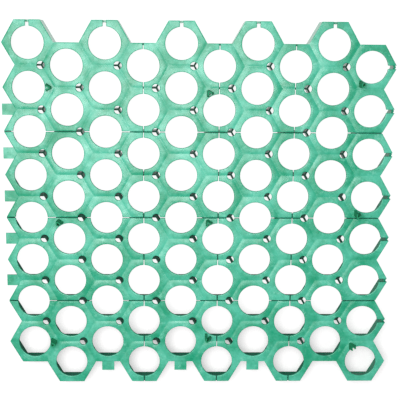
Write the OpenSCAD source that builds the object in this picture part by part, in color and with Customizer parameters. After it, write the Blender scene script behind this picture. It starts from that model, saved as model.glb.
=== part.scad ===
// Honeycomb lawn grid tile
//
// One moulding in green polyethylene: a field of hexagonal cell walls, open on
// the floor side, closed on the other side by a thin flange with a round hole in
// each cell. The tile lies on the open edges of its walls, with the flange and
// its ground spikes up. Columns run along Y and are staggered by half a cell.
// Millimetres, +Z up, origin at the centre of the tile's box on the floor.

/* [Grid] */
// Side of a hexagonal cell, between the centre lines of its walls
cell_side = 36; // [32:0.5:42]
// Number of columns of cells
columns = 10; // [6:1:14]
// Number of cells in each column
rows = 8; // [5:1:12]
// Height from the open edge of the walls to the flange face
tile_depth = 30.5; // [24:0.5:45]

/* [Walls] */
// Thickness of the walls between cells
wall = 2.4; // [1.6:0.1:3.2]
// Thickness of the outer walls
outer_wall = 2.9; // [2:0.1:4]
// Distance of the outer face beyond the outer cells' sides, as measured on wall centre lines
outer_face = 0.4; // [0:0.1:1.2]

/* [Flange] */
// Thickness of the flange
flange = 2.2; // [1.5:0.1:4]
// Diameter of the round hole in each cell
hole_d = 46; // [38:0.5:49]
// Diameter of the drain hole over a wall junction
drain_d = 11.6; // [9:0.2:15]
// Depth of a drain hole, in which the walls are cut back
drain_depth = 7.5; // [4:0.5:16]

/* [Expansion slits] */
// Width of a slit through the flange
slit = 1.4; // [1:0.1:3]
// Cells in a column between two slits across the columns
slit_rows = 2; // [1:1:4]
// Columns between two slits along the columns
slit_columns = 2; // [2:2:4]
// Depth of a slit's groove in the top of a wall under it, below the flange
slit_bed = 0.5; // [0.2:0.1:2]

/* [Coupling slots] */
// Width of a slot from a cell's hole to the tile's edge
slot = 5; // [3:0.2:8]
// Depth of the outer wall's notch in a slot, below the flange face
slot_depth = 9; // [5:0.5:16]

/* [Coupling tongues] */
// Width of a side tongue
side_tongue_w = 16; // [12:0.5:20]
// Width of an end tongue
end_tongue_w = 18; // [12:0.5:20]
// Thickness of a tongue
tongue_t = 2; // [1.4:0.1:3]
// Reach of a side tongue beyond the notch it starts in
side_tongue_reach = 20; // [14:0.5:24]
// Reach of an end tongue beyond the end wall's centre line
end_tongue_reach = 14; // [8:0.5:20]
// Drop of a tongue's face below the flange face
tongue_drop = 0.4; // [0.2:0.1:1]
// Diameter of the ejector mark in the middle of a tongue
mark_d = 5; // [3:0.5:8]
// Depth of that mark
mark_depth = 0.5; // [0.2:0.1:0.8]

/* [Ground spikes] */
// Height of a spike over the flange face
spike_h = 18; // [10:1:35]
// Length of each arm of a spike's section, at its foot
spike_arm = 7; // [5:0.2:8]
// Clear length of the hook at the end of each arm
spike_hook = 1; // [0.4:0.2:2]
// Clear width of a spike's channel at its web
spike_gap = 0.6; // [0.4:0.2:2]
// Angle between the two arms of a spike
spike_angle = 60; // [40:5:90]
// Thickness of a spike's arms at its foot
spike_t = 2.5; // [1.4:0.1:3]
// Size of a spike's tip as a part of its foot
spike_taper = 0.6; // [0.3:0.05:0.9]
// Distance from the wall junction to the corner of a spike
spike_inset = 4.4; // [2:0.2:5]

/* [Hidden] */
$fn = 64;
// Length by which a cut runs past the face it opens in
over = 1;
// Distance between opposite wall centre lines of a cell, the pitch along a column
row_pitch = sqrt(3) * cell_side;
// Distance between the centre lines of neighbouring columns
column_pitch = 1.5 * cell_side;
// Height of the flange's underside
flange_z = tile_depth - flange;
// Extents of the cell field's outer faces, from the centre of the first cell
field_left = -cell_side - 2 * outer_face / sqrt(3);
field_right = (columns - 1) * column_pitch + cell_side + 2 * outer_face / sqrt(3);
field_top = row_pitch / 2 + outer_face;
field_bottom = -rows * row_pitch - outer_face;
// Extents with the tongues
box_left = min(field_left, -cell_side / 2 - side_tongue_reach);
box_bottom = min(field_bottom, -(rows - 0.5) * row_pitch - end_tongue_reach);
// Turn of the spike at each of nine places, column by column from the left
SPIKE_TURNS = [[180, 300, 180], [300, 300, 60], [60, 60, 300]];
// Cells between two spikes along a row and along a column
spike_columns = 4;
spike_rows = 3;

// Centre of the cell in column k and row r, both counted from 0
function cell(k, r) = [k * column_pitch, -r * row_pitch - (k % 2) * row_pitch / 2];

// Corner i of a cell, counted from the right-hand one against the clock
function corner(k, r, i) = cell(k, r) + cell_side * [cos(60 * i), sin(60 * i)];

// Centre line of the outer walls, clockwise from the top left
function field_path() = concat(
    [for (k = [0:columns - 1], i = [2, 1]) corner(k, 0, i)],
    [for (r = [0:rows - 1], i = [0, 5]) corner(columns - 1, r, i)],
    [corner(columns - 1, rows - 1, 4)],
    [for (k = [columns - 2:-1:0], i = [5, 4]) corner(k, rows - 1, i)],
    [for (r = [rows - 1:-1:1], i = [3, 2]) corner(0, r, i)],
    [corner(0, 0, 3)]
);

// Unit vector from a to b
function toward(a, b) = (b - a) / norm(b - a);

// A clockwise path moved out by d, with its corners kept sharp
function grown(path, d) = [
    for (i = [0:len(path) - 1])
        let (n = len(path),
             u = toward(path[(i + n - 1) % n], path[i]),
             v = toward(path[i], path[(i + 1) % n]),
             out = [-(u + v).y, (u + v).x])
        path[i] + out * d / (1 + u * v)
];

// Points at distance d to the left of an open path
function beside(path, d) = [
    for (i = [0:len(path) - 1])
        let (n = len(path),
             u = toward(path[max(i - 1, 0)], path[max(i, 1)]),
             v = toward(path[min(i, n - 2)], path[min(i + 1, n - 1)]),
             left = [-(u + v).y, (u + v).x])
        path[i] + left * d / (1 + u * v)
];

// A list in reverse order
function turned_round(list) = [for (i = [len(list) - 1:-1:0]) list[i]];

// Every cell, as [column, row]
CELLS = [for (k = [0:columns - 1], r = [0:rows - 1]) [k, r]];

// Outline of the whole cell field, over its outer walls
module field_outline() {
    polygon(grown(field_path(), outer_face));
}

// The honeycomb walls, from the floor to the flange
module cell_walls() {
    linear_extrude(flange_z)
        difference() {
            field_outline();
            for (c = CELLS)
                translate(cell(c[0], c[1]))
                    circle(r = cell_side - wall / sqrt(3), $fn = 6);
        }
}

// The outer walls, a closed band along the outline
module outer_walls() {
    linear_extrude(flange_z)
        difference() {
            field_outline();
            polygon(grown(field_path(), outer_face - outer_wall));
        }
}

// The flange with a round hole in each cell
module flange_plate() {
    translate([0, 0, flange_z])
        linear_extrude(flange)
            difference() {
                field_outline();
                for (c = CELLS)
                    translate(cell(c[0], c[1]))
                        circle(d = hole_d);
            }
}

// Drain holes over the inner wall junctions
module drain_holes() {
    for (k = [0:columns - 2], r = [0:rows - 2])
        translate(concat(corner(k, r, 5), tile_depth - drain_depth))
            cylinder(h = drain_depth + over, d = drain_d);
}

// Slits across all columns, every slit_rows cells
module cross_slits() {
    length = field_right - field_left + 2 * over;
    for (r = [slit_rows:slit_rows:rows - 1])
        translate([field_left - over, -r * row_pitch - slit / 2, flange_z - slit_bed])
            cube([length, slit, slit_bed + flange + over]);
}

// Slits along the columns, every slit_columns columns
module column_slits() {
    length = field_top - field_bottom + 2 * over;
    for (k = [slit_columns + 1:slit_columns:columns - 2])
        translate([k * column_pitch - slit / 2, field_bottom - over, flange_z - slit_bed])
            cube([slit, length, slit_bed + flange + over]);
}

// A slot from a cell's hole, along X, through its outer wall
module slot_cut(reach) {
    translate([0, -slot / 2, flange_z - over])
        cube([reach, slot, flange + 2 * over]);
    translate([hole_d / 2, -slot / 2, tile_depth - slot_depth])
        cube([reach - hole_d / 2, slot, slot_depth + over]);
}

// Coupling slots: at the right corner of the last column's cells, and at the
// top of every second column
module coupling_slots() {
    for (r = [0:rows - 2])
        translate(cell(columns - 1, r))
            slot_cut(cell_side + wall + over);
    for (k = [0:2:columns - 1])
        translate(cell(k, 0))
            rotate(90)
                slot_cut(row_pitch / 2 + wall + over);
}

// A tongue along -X from its root, free from the length "hidden" on, with an
// ejector mark in the middle of what is free
module tongue(reach, width, hidden) {
    translate([0, 0, tile_depth - tongue_drop - tongue_t])
        difference() {
            translate([-reach, -width / 2])
                cube([reach, width, tongue_t]);
            translate([-(reach + hidden) / 2, 0, tongue_t - mark_depth])
                cylinder(h = mark_depth + over, d = mark_d);
        }
}

// Tongues that reach under the next tile: in the notches of the first column,
// and on the end walls of every second column
module coupling_tongues() {
    for (r = [1:rows - 3])
        translate(corner(0, r, 4))
            tongue(side_tongue_reach, side_tongue_w, side_tongue_w / (2 * sqrt(3)));
    for (k = [2:2:columns - 3])
        translate(cell(k, rows - 1) - [0, row_pitch / 2])
            rotate(90)
                tongue(end_tongue_reach, end_tongue_w, outer_face);
}

// Centre line of a spike's section: hook, arm, web, arm and hook
function spike_path() =
    let (half = spike_angle / 2,
         root = [0, (spike_gap + spike_t * tan(45 - half / 2)) / 2],
         bend = root + spike_arm * [cos(half), sin(half)],
         tip = bend + (spike_hook + spike_t / 2) * [sin(half), -cos(half)],
         upper = [tip, bend, root])
    concat(upper, [for (p = turned_round(upper)) [p.x, -p.y]]);

// One ground spike: a narrow channel that tapers to its tip, with its web near
// a wall junction, its arms open towards the middle of a cell, and the ends of
// its arms hooked towards each other near the hole's rim
module ground_spike() {
    translate([spike_inset, 0, tile_depth - flange / 2])
        linear_extrude(spike_h + flange / 2, scale = spike_taper)
            polygon(concat(beside(spike_path(), spike_t / 2),
                           turned_round(beside(spike_path(), -spike_t / 2))));
}

module ground_spikes() {
    for (i = [0:floor((columns - 2) / spike_columns)], j = [0:floor((rows - 2) / spike_rows)])
        translate(corner(spike_columns * i, 1 + spike_rows * j, 0))
            rotate(SPIKE_TURNS[i % 3][j % 3])
                ground_spike();
}

module grid_tile() {
    color("mediumaquamarine")
        translate([-(box_left + field_right) / 2, -(field_top + box_bottom) / 2, 0])
            difference() {
                union() {
                    cell_walls();
                    outer_walls();
                    flange_plate();
                    coupling_tongues();
                    ground_spikes();
                }
                drain_holes();
                cross_slits();
                column_slits();
                coupling_slots();
            }
}

grid_tile();
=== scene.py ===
# %% [markdown]
# # A plastic lawn grid tile
#
# The tile is one moulding in green polyethylene: a honeycomb of cell walls under a thin flange with a round hole
# in each cell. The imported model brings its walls, holes, slits, tongues and spikes at their real size. This
# script adds what the mould leaves on the surface: the flange's rolled edges, the sink marks over the walls
# and the finish of the plastic. It also sets the camera, the floor and the light.
#
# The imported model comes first, because everything else takes its place from it. All lengths are in metres.

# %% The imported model
import math

import bpy
import numpy as np
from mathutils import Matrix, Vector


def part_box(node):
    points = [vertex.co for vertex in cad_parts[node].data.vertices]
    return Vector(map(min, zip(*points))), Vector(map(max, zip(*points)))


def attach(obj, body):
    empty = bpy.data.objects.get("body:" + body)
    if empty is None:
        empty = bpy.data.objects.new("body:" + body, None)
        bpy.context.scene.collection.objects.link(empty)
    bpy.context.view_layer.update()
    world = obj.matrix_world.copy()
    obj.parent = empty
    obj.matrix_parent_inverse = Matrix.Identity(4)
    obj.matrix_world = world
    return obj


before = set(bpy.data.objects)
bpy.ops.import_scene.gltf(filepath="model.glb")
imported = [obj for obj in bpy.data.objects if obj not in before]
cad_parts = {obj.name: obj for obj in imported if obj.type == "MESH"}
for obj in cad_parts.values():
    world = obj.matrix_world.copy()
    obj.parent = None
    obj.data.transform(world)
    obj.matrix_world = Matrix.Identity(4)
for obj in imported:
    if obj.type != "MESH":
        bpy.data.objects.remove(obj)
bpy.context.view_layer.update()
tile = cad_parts["grid_tile"]
low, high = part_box("grid_tile")
print("tile size in mm:", [round(1000 * (b - a), 1) for a, b in zip(low, high)])

# %% [markdown]
# ## The grid
#
# The driving sizes are those of the moulding. A cell's place follows from them and from the tile's box: its right
# edge is the last column's outer corner, and its far edge is the first row's outer wall. Columns run along Y, and
# every second one is moved half a cell towards the viewer.

# %% Driving sizes
cell_side = 0.036
columns = 10
rows = 8
outer_face = 0.0004
face_height = 0.0305
hole_radius = 0.023
drain_radius = 0.0058
pit_floor = 0.023
slit_half = 0.0007
slit_rows = 2
slit_columns = 2
slot_half = 0.0025

apothem = math.sqrt(3) / 2 * cell_side
column_pitch = 1.5 * cell_side
first_x = high.x - (columns - 1) * column_pitch - cell_side - 2 * outer_face / math.sqrt(3)
first_y = high.y - apothem - outer_face
side_angles = np.radians(30 + 60 * np.arange(6))
corner_angles = np.radians(60 * np.arange(6))


def around(angles):
    """Unit vectors at these angles: cosine along X, sine along Y."""
    return np.stack([np.cos(angles), np.sin(angles)], axis=-1)


def cell_centre(column, row):
    """Centre of a cell: columns step 1.5 sides along X, rows step two apothems down Y, odd columns one lower."""
    return np.array([first_x + column * column_pitch, first_y - (2 * row + column % 2) * apothem])


cells = [(column, row) for column in range(columns) for row in range(rows)]
centres = np.array([cell_centre(*cell) for cell in cells])
drains = np.array([cell_centre(column, row) + cell_side * around(corner_angles[5])
                   for column in range(columns - 1) for row in range(rows - 1)])
print("cells:", len(cells), "drain holes:", len(drains))

# %% [markdown]
# ## What bounds a cell's share of the flange
#
# The flange around one hole reaches out to the centre lines of the walls it shares, to the outer face of a
# wall at the tile's edge, or to the edge of a slit. Drain holes bite its corners off, and slits and slots cut it
# across. All of these are straight lines and circles, so each gives its distance by a plain formula.


# %% Bounds of a cell
def touching(points, centre, reach):
    """The points that lie within reach of a centre."""
    return points[np.linalg.norm(points - centre, axis=1) < reach]


def side_distances(column, row):
    """Distance from the centre to the flange's edge across each side, and whether a groove lies there."""
    centre = cell_centre(column, row)
    neighbours = centre + 2 * apothem * around(side_angles)
    shared = np.array([len(touching(centres, point, 0.001)) > 0 for point in neighbours])
    distance = np.where(shared, apothem, apothem + outer_face)
    grooved = shared.copy()
    under = row % slit_rows == 0 and row > 0
    over = (row + 1) % slit_rows == 0 and row < rows - 1
    if column % 2 == 1:
        for side, slitted in ((1, under), (4, over)):
            if slitted:
                distance[side] = apothem - slit_half
                grooved[side] = False
    return distance, grooved


def cuts_of(column, row):
    """Cuts from the hole to the edge, as pairs of angle and half width."""
    cuts = []
    if column % 2 == 0 and row % slit_rows == 0 and row > 0:
        cuts += [(0.0, slit_half), (math.pi, slit_half)]
    if column > slit_columns and column % slit_columns == 1 and column < columns - 1:
        cuts += [(math.pi / 2, slit_half), (-math.pi / 2, slit_half)]
    if column == columns - 1 and row < rows - 1:
        cuts.append((0.0, slot_half))
    if column % 2 == 0 and row == 0:
        cuts.append((math.pi / 2, slot_half))
    return sorted((angle % (2 * math.pi), half) for angle, half in cuts)


def edge_radius(angles, distance, bites):
    """Distance from the centre to the flange's edge: the nearest side's distance over the cosine of the angle to
    its normal, or a drain circle's near crossing where the ray meets that circle."""
    cosines = np.cos(angles[:, None] - side_angles)
    radius = np.where(cosines > 0.2, distance / np.maximum(cosines, 0.2), 1.0).min(axis=1)
    for bite in bites:
        turn = angles - math.atan2(bite[1], bite[0])
        far = np.linalg.norm(bite)
        room = drain_radius ** 2 - (far * np.sin(turn)) ** 2
        meets = (room > 0) & (np.cos(turn) > 0)
        crossing = far * np.cos(turn) - np.sqrt(np.maximum(room, 0))
        radius = np.where(meets, np.minimum(radius, crossing), radius)
    return radius


print("cuts of the first cell:", cuts_of(0, 0), "of column 4, row 3:", cuts_of(3, 2))

# %% [markdown]
# ## The flange's relief
#
# A flat slab would look drawn. On the real tile the plastic shrank over each wall while it cooled, so a shallow
# groove in a broader dish runs along every wall's centre line, with a dimple where three walls meet, and every
# cut edge is rolled. The relief is a height over the plan, worked out from the distances to those lines. It is
# under a millimetre high, but it catches the light in every view, and so it is a surface and not a bump.

# %% Relief sizes
pad_height = 0.0008
roll = 0.0009
groove_half = 0.0026
dish_half = 0.0064
dish_share = 0.55
groove_floor = 0.1
dimple_radius = 0.0044
sunk = 0.0003
setback = 0.00003


def rolled(distance):
    """Rise from a cut edge: a quarter circle over the roll's radius, then level."""
    t = np.clip(distance / roll, 0, 1)
    return np.sqrt(1 - (1 - t) ** 2)


def valley(distance):
    """Rise from a wall's centre line: half a cosine wave over the groove's half width, plus a second one over the
    dish's half width, in their shares."""
    narrow, broad = (0.5 - 0.5 * np.cos(math.pi * np.clip(distance / half, 0, 1)) for half in (groove_half, dish_half))
    return groove_floor + (1 - groove_floor) * ((1 - dish_share) * narrow + dish_share * broad)


def dimple(distance):
    """Rise from a wall junction: one less a bell curve of the distance."""
    return 1 - 0.85 * np.exp(-(distance / dimple_radius) ** 2)


def relief(points, distance, grooved, bites, cuts):
    """Height over the flange face: the pad's height times the roll at the nearest cut edge, times the valley at
    the nearest grooved side, times the dimple at the nearest junction."""
    radius = np.linalg.norm(points, axis=-1)
    across = distance - points @ around(side_angles).T
    free = np.where(grooved, 1.0, across).min(axis=-1)
    edge = np.minimum(free, radius - hole_radius)
    for bite in bites:
        edge = np.minimum(edge, np.linalg.norm(points - bite, axis=-1) - drain_radius)
    for angle, half in cuts:
        along, aside = points @ around(angle), np.abs(points @ around(angle + math.pi / 2))
        edge = np.where(along > 0, np.minimum(edge, aside - half), edge)
    groove = np.where(grooved, across, 1.0).min(axis=-1)
    junctions = cell_side * around(corner_angles)
    nearest = np.linalg.norm(points[..., None, :] - junctions, axis=-1).min(axis=-1)
    return pad_height * rolled(edge) * valley(groove) * dimple(nearest)


# %% [markdown]
# ## One ring of the relief
#
# A cell's share of the relief is a ring around its hole: an angle runs round it, and a second parameter runs
# round its cross section, up the hole's edge, over the face and down at the far edge. A cut opens the ring into
# sectors. A sector's two ends lie on the cut's straight sides, where the section shrinks to nothing, and its
# points there are welded, so that the surface closes by itself.

# %% Rings
level_steps = 2


def angle_samples(start, end, bites):
    """Angles from start to end: every 5 degrees, plus the ends of each drain's arc and five steps along it."""
    angles = np.arange(math.floor(math.degrees(start) / 5) * 5, math.degrees(end) + 5, 5.0)
    for bite in bites:
        middle = math.degrees(math.atan2(bite[1], bite[0]))
        arc = np.radians(np.linspace(-60, 60, 7))
        offset = np.degrees(np.arctan2(drain_radius * np.sin(arc), cell_side - drain_radius * np.cos(arc)))
        for turn in (middle, middle + 360, middle + 720):
            angles = angles[np.abs(angles - turn) > offset[-1] + 1.2]
            angles = np.append(angles, turn + offset)
    angles = np.radians(np.unique(np.round(angles, 6)))
    return angles[(angles > start + math.radians(0.6)) & (angles < end - math.radians(0.6))]


def sector_angles(first, last, distance, bites):
    """A sector's angles. At each end: the outer end of the cut's side, its inner end, then two steps inwards."""
    (start, start_half), (end, end_half) = first, last
    outer = edge_radius(np.array([start, end]), distance, bites)
    ends = []
    for half, far in zip((start_half, end_half), outer):
        inner_turn, roll_turn = math.asin(half / hole_radius), math.asin((half + roll) / hole_radius)
        ends.append((math.asin(half / far), inner_turn, (inner_turn + roll_turn) / 2, roll_turn))
    middle = angle_samples(start + ends[0][3], end - ends[1][3], bites)
    return np.concatenate([start + np.array(ends[0]), middle, end - np.array(ends[1][::-1])])


def section_radii(inner, outer):
    """Radii across the ring: close together at both edges, evenly spaced between them."""
    near = np.array([0, 0.12, 0.45, 1]) * roll
    far = np.array([1, 0.72, 0.46, 0.28, 0.13, 0]) * dish_half
    room = np.clip((outer - inner) / (roll + dish_half + 0.0005), 0, 1)[:, None]
    steps = np.linspace(0, 1, level_steps + 2)[1:-1]
    first, last = inner[:, None] + room * near, outer[:, None] - room * far
    level = first[:, -1:] + (last[:, :1] - first[:, -1:]) * steps
    return np.concatenate([first, level, last], axis=1)


def ring_mesh(column, row):
    """Vertices and quads of a cell's relief: radii times unit vectors give the plan, the relief gives the height,
    and two sunk points close each section under the face."""
    centre = cell_centre(column, row)
    distance, grooved = side_distances(column, row)
    bites = touching(drains, centre, cell_side + 0.001) - centre
    cuts = cuts_of(column, row)
    ends = cuts if cuts else [(0.0, None)]
    pieces = []
    for first, last in zip(ends, ends[1:] + [(ends[0][0] + 2 * math.pi, ends[0][1])]):
        closed = first[1] is None
        if closed:
            angles = angle_samples(-0.02, 2 * math.pi - 0.02, bites)
            inner = np.full(len(angles), hole_radius + setback)
        else:
            angles = sector_angles(first, last, distance, bites)
            from_start, to_end = np.sin(angles - first[0]), np.sin(last[0] - angles)
            near_start, near_end = angles - first[0] < 1.5, last[0] - angles < 1.5
            at_start = np.where(near_start, (first[1] + setback) / np.maximum(from_start, 1e-6), 0)
            at_end = np.where(near_end, (last[1] + setback) / np.maximum(to_end, 1e-6), 0)
            inner = np.maximum(hole_radius + setback, np.maximum(at_start, at_end))
        outer = edge_radius(angles, distance - np.where(grooved, 0, setback), bites)
        inner = np.minimum(inner, outer)
        radii = section_radii(inner, outer)
        plan = radii[..., None] * around(angles)[:, None, :]
        height = relief(plan, distance, grooved, bites, cuts)
        under = np.full((len(angles), 1), -sunk)
        heights = np.concatenate([under, height, under], axis=1)
        plan = np.concatenate([plan[:, :1], plan, plan[:, -1:]], axis=1)
        points = np.concatenate([plan + centre, heights[..., None] + face_height], axis=-1)
        pieces.append((points, closed))
    return pieces


def quads(count, width, closed):
    """Quads between neighbouring points of a grid that is closed across its sections, and along them if asked."""
    along = np.arange(count if closed else count - 1)[:, None]
    across = np.arange(width)[None, :]
    after, beside = (along + 1) % count, (across + 1) % width
    corners = [along * width + beside, after * width + beside, after * width + across, along * width + across]
    return np.stack(corners, axis=-1).reshape(-1, 4)


def welded(points, faces):
    """Points at one place become one, and a face that loses a corner by it becomes a triangle or goes."""
    _, first, index = np.unique(np.round(points, 7), axis=0, return_index=True, return_inverse=True)
    shared = index.reshape(-1)[faces].tolist()
    trimmed = [[corner for i, corner in enumerate(face) if corner != face[i - 1]] for face in shared]
    return points[first], [face for face in trimmed if len(face) > 2]


relief_points, relief_faces = [], []
for cell in cells:
    for points, closed in ring_mesh(*cell):
        grid = quads(points.shape[0], points.shape[1], closed)
        corners, faces = welded(points.reshape(-1, 3), grid)
        relief_faces += [[corner + len(relief_points) for corner in face] for face in faces]
        relief_points += corners.tolist()
print("relief points:", len(relief_points), "triangles:", sum(len(face) - 2 for face in relief_faces))


# %% Relief mesh
def piece_from(name, points, faces, smooth_angle):
    """A new object from whole arrays, shaded smooth up to the given angle."""
    mesh = bpy.data.meshes.new(name)
    mesh.from_pydata(points, [], faces)
    mesh.update()
    mesh.shade_smooth()
    mesh.set_sharp_from_angle(angle=math.radians(smooth_angle))
    piece = bpy.data.objects.new(name, mesh)
    bpy.context.scene.collection.objects.link(piece)
    return piece


flange_relief = piece_from("flange_relief", relief_points, relief_faces, 50)

# %% [markdown]
# ## The plastic
#
# Moulded polyethylene is a waxy, semi-matt green. Its face is scuffed to a pale haze, with clouds, dark flecks
# and light specks in it. Four zones follow from the height and from which way a surface faces: the scuffed
# face; the smooth walls below it, a little darker, partly for the unscuffed plastic and partly as painted shade;
# the spikes above it, with painted shade that makes them darker; and the wall tops down in the drain holes and
# slits, with painted shade that makes them near black. All patterns read Object coordinates, so they run on
# from the imported part to the relief without a seam.

# %% Green plastic
def green_plastic():
    """Principled plastic: three noises mix the face's greens, one varies its haze, and two give the bump."""
    material = bpy.data.materials.new("green_plastic")
    material.use_nodes = True
    tree = material.node_tree
    shader = tree.nodes["Principled BSDF"]
    place = tree.nodes.new("ShaderNodeTexCoord")

    def noise(scale, detail, roughness):
        node = tree.nodes.new("ShaderNodeTexNoise")
        node.inputs["Scale"].default_value = scale
        node.inputs["Detail"].default_value = detail
        node.inputs["Roughness"].default_value = roughness
        tree.links.new(place.outputs["Object"], node.inputs["Vector"])
        return node.outputs["Fac"]

    def ramp(value, stops):
        node = tree.nodes.new("ShaderNodeValToRGB")
        while len(node.color_ramp.elements) < len(stops):
            node.color_ramp.elements.new(0.5)
        for element, (position, colour) in zip(node.color_ramp.elements, stops):
            element.position = position
            element.color = (*colour, 1)
        tree.links.new(value, node.inputs["Fac"])
        return node.outputs["Color"]

    def mixed(kind, factor, first, second):
        node = tree.nodes.new("ShaderNodeMix")
        node.data_type = "RGBA"
        node.blend_type = kind
        if isinstance(factor, float):
            node.inputs["Factor"].default_value = factor
        else:
            tree.links.new(factor, node.inputs["Factor"])
        tree.links.new(first, node.inputs["A"])
        tree.links.new(second, node.inputs["B"])
        return node.outputs["Result"]

    def ranged(value, low_in, high_in, low_out, high_out):
        node = tree.nodes.new("ShaderNodeMapRange")
        tree.links.new(value, node.inputs["Value"])
        for name, number in zip(("From Min", "From Max", "To Min", "To Max"), (low_in, high_in, low_out, high_out)):
            node.inputs[name].default_value = number
        return node.outputs["Result"]

    def upward(socket):
        node = tree.nodes.new("ShaderNodeSeparateXYZ")
        tree.links.new(place.outputs[socket], node.inputs["Vector"])
        return node.outputs["Z"]

    def times(first, second):
        node = tree.nodes.new("ShaderNodeMath")
        node.operation = "MULTIPLY"
        tree.links.new(first, node.inputs[0])
        tree.links.new(second, node.inputs[1])
        return node.outputs["Value"]

    def plain(colour):
        node = tree.nodes.new("ShaderNodeRGB")
        node.outputs["Color"].default_value = (*colour, 1)
        return node.outputs["Color"]

    def blend(factor, first, second):
        node = tree.nodes.new("ShaderNodeMix")
        tree.links.new(factor, node.inputs["Factor"])
        tree.links.new(first, node.inputs["A"])
        if isinstance(second, float):
            node.inputs["B"].default_value = second
        else:
            tree.links.new(second, node.inputs["B"])
        return node.outputs["Result"]

    height = upward("Object")
    level = ranged(upward("Normal"), 0.3, 0.8, 0.0, 1.0)
    near_face = ranged(height, face_height - 0.003, face_height - 0.0015, 0.0, 1.0)
    above_pits = ranged(height, pit_floor - 0.0008, pit_floor - 0.0002, 0.0, 1.0)
    over_face = ranged(height, face_height + 0.001, face_height + 0.002, 1.0, 0.0)
    face_zone = times(times(level, near_face), over_face)
    # The pits' zone: level tops sunk well under the face, where shade is painted.
    pit_painted_shade_zone = times(times(level, above_pits), ranged(near_face, 0.0, 1.0, 1.0, 0.0))

    clouds = ramp(noise(24, 5, 0.66), [(0.38, (0.003, 0.36, 0.185)), (0.62, (0.085, 0.56, 0.38))])
    flecks = ramp(noise(170, 3, 0.6), [(0.35, (0.82, 0.88, 0.86)), (0.55, (1, 1, 1)), (0.72, (1.0, 1.0, 1.0))])
    specks = ranged(noise(55, 6, 0.78), 0.57, 0.68, 0.0, 0.6)
    face = mixed("MIX", specks, mixed("MULTIPLY", 0.8, clouds, flecks), plain((0.26, 0.74, 0.57)))
    # Painted shade: the spikes above the face take a darker green (0.0, 0.28, 0.12), and the walls below it a green a
    # little darker than the face, partly for the unscuffed plastic and partly as painted shade.
    sides = mixed("MIX", over_face, plain((0.0, 0.28, 0.12)), plain((0.005, 0.36, 0.2)))
    walls = mixed("MIX", face_zone, sides, face)
    # Painted shade: level wall tops down in the drain holes and slits turn near black (0.002, 0.05, 0.03).
    base = mixed("MIX", pit_painted_shade_zone, walls, plain((0.002, 0.05, 0.03)))
    tree.links.new(base, shader.inputs["Base Color"])

    gloss = ranged(noise(38, 4, 0.6), 0.35, 0.65, 0.26, 0.46)
    steep = ranged(height, face_height, face_height + 0.001, 0.22, 0.8)
    dull = blend(pit_painted_shade_zone, blend(face_zone, steep, gloss), 0.9)
    tree.links.new(dull, shader.inputs["Roughness"])
    shader.inputs["Specular IOR Level"].default_value = 0.65

    def bump(height, distance, strength, normal=None):
        node = tree.nodes.new("ShaderNodeBump")
        node.inputs["Distance"].default_value = distance
        node.inputs["Strength"].default_value = strength
        tree.links.new(height, node.inputs["Height"])
        if normal is not None:
            tree.links.new(normal, node.inputs["Normal"])
        return node.outputs["Normal"]

    waves = bump(noise(65, 2, 0.5), 0.0012, 0.5)
    grain = bump(noise(900, 2, 0.5), 0.0001, 0.12, waves)
    tree.links.new(grain, shader.inputs["Normal"])
    return material


plastic = green_plastic()
for piece in (tile, flange_relief):
    piece.data.materials.clear()
    piece.data.materials.append(plastic)
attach(flange_relief, "root")

# %% [markdown]
# ## Camera
#
# The camera looks down on the tile from above its far edge, a little off square, so that the near cells show
# their inner walls. The lens is long, as in a catalogue photograph.

# %% Camera
camera_at = (first_x + 0.2124, first_y - 0.0050, face_height + 1.2438)
looks_at = (first_x + 0.2434, first_y - 0.2230, face_height)
camera_roll = 0.43
image_width = 400
focal_pixels = 871.8

camera_data = bpy.data.cameras.new("camera")
camera_data.sensor_width = 36
camera_data.lens = camera_data.sensor_width * focal_pixels / image_width
camera = bpy.data.objects.new("camera", camera_data)
bpy.context.scene.collection.objects.link(camera)


def turned_to(place, aim, roll=0.0):
    """Matrix at a place whose -Z runs to the aim, with +Y as near to the world's +Y as it goes, then rolled."""
    back = (Vector(place) - Vector(aim)).normalized()
    right = Vector((0, 1, 0)).cross(back).normalized()
    axes = Matrix((right, back.cross(right), back)).transposed()
    spin = Matrix.Rotation(math.radians(roll), 4, "Z")
    return Matrix.Translation(place) @ axes.to_4x4() @ spin


camera.matrix_world = turned_to(camera_at, looks_at, camera_roll)
bpy.context.scene.camera = camera
print("lens in mm:", round(camera_data.lens, 1))

# %% [markdown]
# ## Floor and light
#
# The tile lies on a white floor under one wide soft light above its far left, whose reflection leaves a pale
# haze on that part of the face. The floor is white to the camera and keeps a soft shadow, strongest at the near
# edge, as in the photograph. A dim world, white to the camera, fills the cells.

# %% Floor
floor_size = 6.0
floor_height = -0.0001


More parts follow.
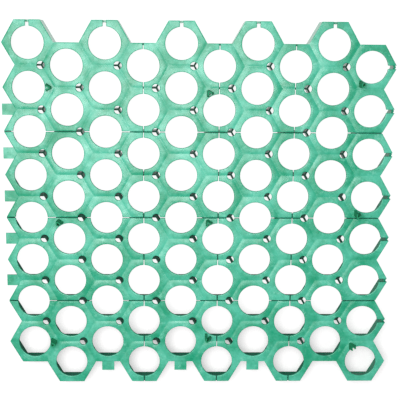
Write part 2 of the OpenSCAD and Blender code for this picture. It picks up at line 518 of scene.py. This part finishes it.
def floor_material():
    """White to the eye. Round the near edge it glows less and takes more light, so that the shadow shows there.
    Reflections see it white from the middle of the tile outwards past the far edge, and other rays from the far
    edge outwards; elsewhere they see a plain dark grey, which is painted shade, and under the last column a
    lighter grey, which is painted light. From below it is clear, so that the tile's open side can be looked at."""
    material = bpy.data.materials.new("floor")
    material.use_nodes = True
    tree = material.node_tree
    tree.nodes.clear()
    output = tree.nodes.new("ShaderNodeOutputMaterial")
    rays = tree.nodes.new("ShaderNodeLightPath")
    spot = tree.nodes.new("ShaderNodeNewGeometry")
    place = tree.nodes.new("ShaderNodeSeparateXYZ")
    tree.links.new(spot.outputs["Position"], place.inputs["Vector"])

    def ranged(value, start, end, at_start, at_end):
        node = tree.nodes.new("ShaderNodeMapRange")
        tree.links.new(value, node.inputs["Value"])
        for name, number in zip(("From Min", "From Max", "To Min", "To Max"), (start, end, at_start, at_end)):
            node.inputs[name].default_value = number
        return node.outputs["Result"]

    def along_y(start, end, at_start, at_end):
        return ranged(place.outputs["Y"], start, end, at_start, at_end)

    def away_from(centre, radii):
        """Distance from a centre, counted in the radii of an ellipse round it."""
        shifted, scaled, length = (tree.nodes.new("ShaderNodeVectorMath") for _ in range(3))
        shifted.operation, scaled.operation, length.operation = "SUBTRACT", "DIVIDE", "LENGTH"
        tree.links.new(spot.outputs["Position"], shifted.inputs[0])
        shifted.inputs[1].default_value = (*centre, 0)
        tree.links.new(shifted.outputs["Vector"], scaled.inputs[0])
        scaled.inputs[1].default_value = (*radii, 1)
        tree.links.new(scaled.outputs["Vector"], length.inputs[0])
        return length.outputs["Value"]

    def joined(operation, first, second):
        node = tree.nodes.new("ShaderNodeMath")
        node.operation = operation
        tree.links.new(first, node.inputs[0])
        tree.links.new(second, node.inputs[1])
        return node.outputs["Value"]

    def diffuse(colour):
        node = tree.nodes.new("ShaderNodeBsdfDiffuse")
        node.inputs["Color"].default_value = (*colour, 1)
        return node.outputs["BSDF"]

    def mixed(factor, first, second):
        node = tree.nodes.new("ShaderNodeMixShader")
        tree.links.new(factor, node.inputs["Fac"])
        tree.links.new(first, node.inputs[1])
        tree.links.new(second, node.inputs[2])
        return node.outputs["Shader"]

    # Painted reflection and shade: walls mirror a white floor only over the tile's far half, and a dark grey under the
    # rest.
    painted_reflection_share = joined("MAXIMUM", along_y(0.0, 0.24, 0.03, 1.0), ranged(place.outputs["X"], 0.19, 0.25, 0.0, 0.05))
    painted_reflection_share = joined("MULTIPLY", rays.outputs["Is Glossy Ray"], painted_reflection_share)
    seen = joined("MAXIMUM", rays.outputs["Is Camera Ray"], painted_reflection_share)
    seen = joined("MAXIMUM", seen, rays.outputs["Is Transmission Ray"])
    glow = tree.nodes.new("ShaderNodeEmission")
    from_near_edge = away_from((0.0, low.y - 0.01), (0.36, 0.07))
    near_glow = ranged(from_near_edge, 1.0, 2.0, 0.41, 0.92)
    far_glow = ranged(away_from((0.0, 0.0), (1.0, 1.0)), 0.4, 0.9, 0.0, 1.0)
    tree.links.new(joined("MAXIMUM", near_glow, far_glow), glow.inputs["Strength"])
    matt = mixed(ranged(from_near_edge, 1.0, 2.0, 0.0, 1.0), diffuse((0.78, 0.75, 0.76)), diffuse((0.2, 0.2, 0.2)))
    both = tree.nodes.new("ShaderNodeAddShader")
    tree.links.new(matt, both.inputs[0])
    tree.links.new(glow.outputs["Emission"], both.inputs[1])
    # Painted shade and light: bounce rays meet a dark grey floor under the tile, a white one past the far edge and a
    # lighter grey under the last column.
    last_column = ranged(place.outputs["X"], 0.19, 0.25, 0.0, 0.4)
    bright_bounce_share = joined("MAXIMUM", along_y(high.y - 0.06, high.y - 0.035, 0.0, 1.0), last_column)
    unseen = mixed(bright_bounce_share, diffuse((0.12, 0.12, 0.12)), diffuse((0.8, 0.8, 0.8)))
    clear = tree.nodes.new("ShaderNodeBsdfTransparent")
    front = mixed(seen, unseen, both.outputs["Shader"])
    tree.links.new(mixed(spot.outputs["Backfacing"], front, clear.outputs["BSDF"]), output.inputs["Surface"])
    return material


half = floor_size / 2
floor_points = np.array([(x, y, floor_height) for x, y in ((-half, -half), (half, -half), (half, half), (-half, half))])
floor = piece_from("floor", floor_points, np.array([[0, 1, 2, 3]]), 30)
floor.data.materials.append(floor_material())


# %% Light
def soft_light(name, place, aim, size, watts):
    """A square area lamp at a place, turned to a point."""
    data = bpy.data.lights.new(name, "AREA")
    data.size = size
    data.energy = watts
    lamp = bpy.data.objects.new(name, data)
    bpy.context.scene.collection.objects.link(lamp)
    lamp.matrix_world = turned_to(place, aim)
    return lamp


soft_light("softbox", (-0.21, 0.22, 1.45), (0.0, 0.0, 0.0), 1.0, 20)

world = bpy.data.worlds.new("room")
bpy.context.scene.world = world
world.use_nodes = True
room = world.node_tree.nodes["Background"]
room.inputs["Color"].default_value = (1, 1, 1, 1)
sight = world.node_tree.nodes.new("ShaderNodeLightPath")
strength = world.node_tree.nodes.new("ShaderNodeMapRange")
strength.inputs["To Min"].default_value = 0.28
world.node_tree.links.new(sight.outputs["Is Camera Ray"], strength.inputs["Value"])
world.node_tree.links.new(strength.outputs["Result"], room.inputs["Strength"])
bpy.context.scene.view_settings.view_transform = "Standard"
